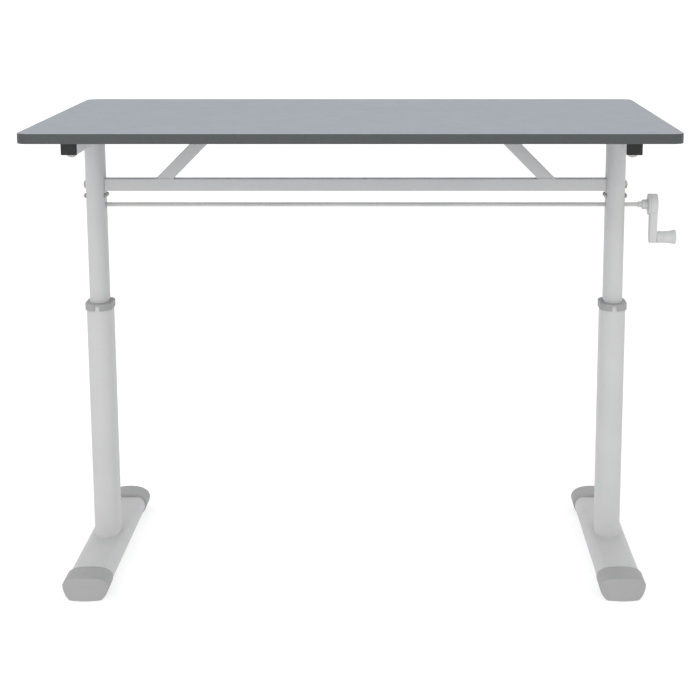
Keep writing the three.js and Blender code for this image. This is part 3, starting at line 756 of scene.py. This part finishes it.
# Crank: light grey moulded arm with a round boss at the rod's end, pushed on the hexagon rod
# against a stepped hub. Corners are moulded soft, and the outer face is flat.
crank_plastic = moulding("crank_plastic", 0.585, grain=1300)
hub, hub_size = middle("crank_hub")
arm_low, arm_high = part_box("crank_arm")
axle, axle_size = middle("knob_axle")
bore_gap = 0.0001
neck_radius = 0.006
neck_soft = 0.0004
neck_lead = 0.0005
step_back = 0.008
hub_soft = 0.001
hub_radius = hub_size.y / 2
rod_hole = rod_size.y / 2 + bore_gap
layers = [(six_sided(rod_hole), 0.0), (six_sided(rod_hole), hub_size.x),
          (circle(hub_radius), hub_size.x),
          (circle(hub_radius), step_back + hub_soft), (circle(hub_radius - hub_soft), step_back),
          (circle(neck_radius + neck_soft), step_back),
          (circle(neck_radius), step_back - neck_soft),
          (circle(neck_radius), neck_lead), (circle(neck_radius - neck_lead), 0.0)]
piece = stack("crank_hub_moulding", Vector((hub.x - hub_size.x / 2, 0, rod.z)), (1, 0, 0),
              layers, closed=True)
fasten(piece, "crank", "crank_plastic", crank_plastic, "crank_hub", edge=0)
piece.data.set_sharp_from_angle(angle=math.radians(40))

boss_radius = arm_high.z - rod.z
arm_half = 0.0135
end_radius = 0.012
arm_reach = rod.z - arm_low.z - end_radius
boss_thick = 0.004
soft = 0.0015
# The arm's outline from one side of the boss, round the arm's end and back to the other side.
arm_end = [math.pi * (1 + step / 20) for step in range(1, 20)]
edge_points = ([Vector((-arm_half, 0)), Vector((-end_radius, -arm_reach))]
               + [Vector((end_radius * math.cos(turn), -arm_reach + end_radius * math.sin(turn)))
                  for turn in arm_end]
               + [Vector((end_radius, -arm_reach)), Vector((arm_half, 0))])
# Rays from the boss's middle to its outline, closer together where the arm's end is round.
round_the_boss = [math.radians(step * 3) for step in range(-28, 88)]
round_the_tip = [math.radians(264 + step * 0.6) for step in range(20)]
rays = [Vector((math.cos(angle), math.sin(angle))) for angle in round_the_boss + round_the_tip]


def arm_outline(grow):
    """Points round the boss and arm together, grown or drawn in, seen from the boss's middle."""
    arm_shape = inset(edge_points, -grow)
    arm_shape[0] = Vector((-arm_half - grow, 0))
    arm_shape[-1] = Vector((arm_half + grow, 0))
    return [ray * reach_along(ray, arm_shape, boss_radius + grow) for ray in rays]


disc = [ray * boss_radius for ray in rays]
arm_start = arm_low.x + boss_thick
rings = []
for cosine, sine in quarter_turn(4):
    shrink = 1 - soft * (1 - sine) / boss_radius
    rings.append(along_x([point * shrink for point in disc],
                         arm_low.x + soft * (1 - cosine), 0, rod.z))
rings.append(along_x([point * 0.999 for point in disc], arm_start, 0, rod.z))
for cosine, sine in quarter_turn(4):
    rings.append(along_x(arm_outline(-soft * (1 - sine)),
                         arm_start + soft * (1 - cosine), 0, rod.z))
for cosine, sine in reversed(quarter_turn(4)):
    rings.append(along_x(arm_outline(-soft * (1 - sine)),
                         arm_high.x - soft * (1 - cosine), 0, rod.z))
piece = loft("crank_arm_moulding", rings)
blind_hole = loft("hole", [along_x(six_sided(rod_hole), x, 0, rod.z)
                           for x in (arm_low.x - overrun, rod_end + bore_gap)])
axle_hole = loft("hole", [along_x(circle(axle_size.z / 2 + bore_gap), x, 0, axle.z)
                          for x in (axle.x - axle_size.x / 2 - bore_gap, arm_high.x + overrun)])
drill(piece, blind_hole, axle_hole)
fasten(piece, "crank", "crank_plastic", crank_plastic, "crank_arm", edge=0)
piece.data.set_sharp_from_angle(angle=math.radians(40))


# Knob: the same moulded grey, free to turn on the steel axle. It is waisted near the arm, where
# three shallow grooves give a grip, and flares to a rounded end.
knob_low, knob_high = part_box("knob")
knob_length = knob_high.x - knob_low.x
waist = 0.0121
flare = (knob_high.z - knob_low.z) / 2
flare_start = knob_length * 0.42
end_soft = 0.003
end_draw = 0.004
spin_gap = 0.00005
end_gap = 0.0002
bore = axle_size.z / 2 + spin_gap
bore_end = axle.x + axle_size.x / 2 + end_gap - knob_low.x
inner_edge = ((0.0009, -0.0003), (0.0002, 0.0), (0, 0.0008))
profile = [(bore, bore_end), (bore, inner_edge[0][1])]
profile += [(waist - drawn_in, along) for drawn_in, along in inner_edge]
groove = ((-0.0011, 0), (-0.0006, 0.0004), (0, 0.0006), (0.0006, 0.0004), (0.0011, 0))
for along in (0.0045, 0.0085, 0.0125):
    profile += [(waist - depth, along + offset) for offset, depth in groove]
for step in range(13):
    share = step / 12
    profile.append((waist + (flare - waist) * share ** 2,
                    flare_start + (knob_length - end_soft - flare_start) * share))
for cosine, sine in quarter_turn(8)[1:]:
    profile.append((flare - end_draw * (1 - cosine), knob_length - end_soft * (1 - sine)))
piece = stack("knob_moulding", Vector((knob_low.x, 0, axle.z)), (1, 0, 0),
              [(circle(radius, 64), height) for radius, height in profile])
fasten(piece, "knob", "crank_plastic", crank_plastic, "knob", edge=0)
piece.data.set_sharp_from_angle(angle=math.radians(40))


# Lifting gear hidden in the legs: a cast housing in each inner tube holds a pair of steel bevel
# gears, the lead screw hangs below it in a bronze nut, and the nut stands on a steel post.
def finish_kept(material, *nodes):
    """Gives hidden pieces, which keep their plain meshes, a finish of their own."""
    for node in nodes:
        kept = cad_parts[node]
        kept.data.materials.clear()
        kept.data.materials.append(material)


cast, shader, place = finish("die_cast_zinc", 0.6, metallic=0.8)
tint(cast, shader, noise(cast, place, 120, 4), (0.24, 0.245, 0.25), (0.34, 0.345, 0.35))
vary_roughness(cast, shader, noise(cast, place, 260, 3), 0.5, 0.72)
emboss(cast, shader, noise(cast, place, 900, 3, 0.7), 0.0001, 0.6)

cut_steel = plated("cut_steel", (0.3, 0.3, 0.3), (0.44, 0.44, 0.43), 0.36)
bronze = plated("cast_bronze", (0.3, 0.19, 0.08), (0.42, 0.28, 0.12), 0.42)
nylon = moulding("glide_nylon", 0.03, grain=1100)
for side in sides:
    finish_kept(cast, f"gearbox_{side}")
    finish_kept(cut_steel, f"rod_gear_{side}", f"screw_gear_{side}", f"nut_post_{side}",
                f"lead_screw_{side}")
    finish_kept(bronze, f"lift_nut_{side}")
    finish_kept(nylon, f"tube_glide_{side}")
finish_kept(cut_steel, "knob_axle")


# Studio: a pale seamless floor that is clear from below, an even white surround, and one big
# soft lamp high on the left of the camera, which gives the slight difference between the faces.
floor_half = 30
floor_mesh = bpy.data.meshes.new("floor")
floor_mesh.from_pydata([(-floor_half, -floor_half, 0), (floor_half, -floor_half, 0),
                        (floor_half, floor_half, 0), (-floor_half, floor_half, 0)],
                       [], [(0, 1, 2, 3)])
floor = bpy.data.objects.new("floor", floor_mesh)
bpy.context.scene.collection.objects.link(floor)
pale, shader, place = finish("pale_floor", 0.9, specular=0.0)
tint(pale, shader, noise(pale, place, 2, 2), (0.5, 0.5, 0.5), (0.52, 0.52, 0.52))
shader.inputs["Emission Color"].default_value = (1, 1, 1, 1)
nodes, links = pale.node_tree.nodes, pale.node_tree.links
glow = nodes.new("ShaderNodeMapRange")
glow.inputs["To Min"].default_value = 0.48
glow.inputs["To Max"].default_value = 0.62
links.new(nodes.new("ShaderNodeLightPath").outputs["Is Camera Ray"], glow.inputs["Value"])
links.new(glow.outputs["Result"], shader.inputs["Emission Strength"])
see_through = nodes.new("ShaderNodeMixShader")
links.new(nodes.new("ShaderNodeNewGeometry").outputs["Backfacing"], see_through.inputs["Fac"])
links.new(shader.outputs["BSDF"], see_through.inputs[1])
links.new(nodes.new("ShaderNodeBsdfTransparent").outputs["BSDF"], see_through.inputs[2])
links.new(see_through.outputs["Shader"], nodes["Material Output"].inputs["Surface"])
floor_mesh.materials.append(pale)

world = bpy.data.worlds.new("surround")
world.use_nodes = True
nodes, links = world.node_tree.nodes, world.node_tree.links
up = nodes.new("ShaderNodeSeparateXYZ")
links.new(nodes.new("ShaderNodeTexCoord").outputs["Generated"], up.inputs[0])
dimmer = nodes.new("ShaderNodeMapRange")
dimmer.interpolation_type = "SMOOTHSTEP"
dimmer.inputs["From Min"].default_value = 0.35
dimmer.inputs["From Max"].default_value = 0.95
dimmer.inputs["To Min"].default_value = 1.05
dimmer.inputs["To Max"].default_value = 0.85
links.new(up.outputs["Z"], dimmer.inputs["Value"])
links.new(dimmer.outputs["Result"], nodes["Background"].inputs["Strength"])
nodes["Background"].inputs["Color"].default_value = (1, 1, 1, 1)
bpy.context.scene.world = world

lamp = bpy.data.lights.new("key_lamp", "AREA")
lamp.size = 2.6
lamp.energy = 40
lamp_stand = bpy.data.objects.new("key_lamp", lamp)
lamp_stand.location = (-0.9, -4.2, 2.2)
aim = Vector((0, 0, 0.5)) - lamp_stand.location
lamp_stand.rotation_euler = aim.to_track_quat("-Z", "Y").to_euler()
bpy.context.scene.collection.objects.link(lamp_stand)

bpy.context.scene.view_settings.view_transform = "Standard"
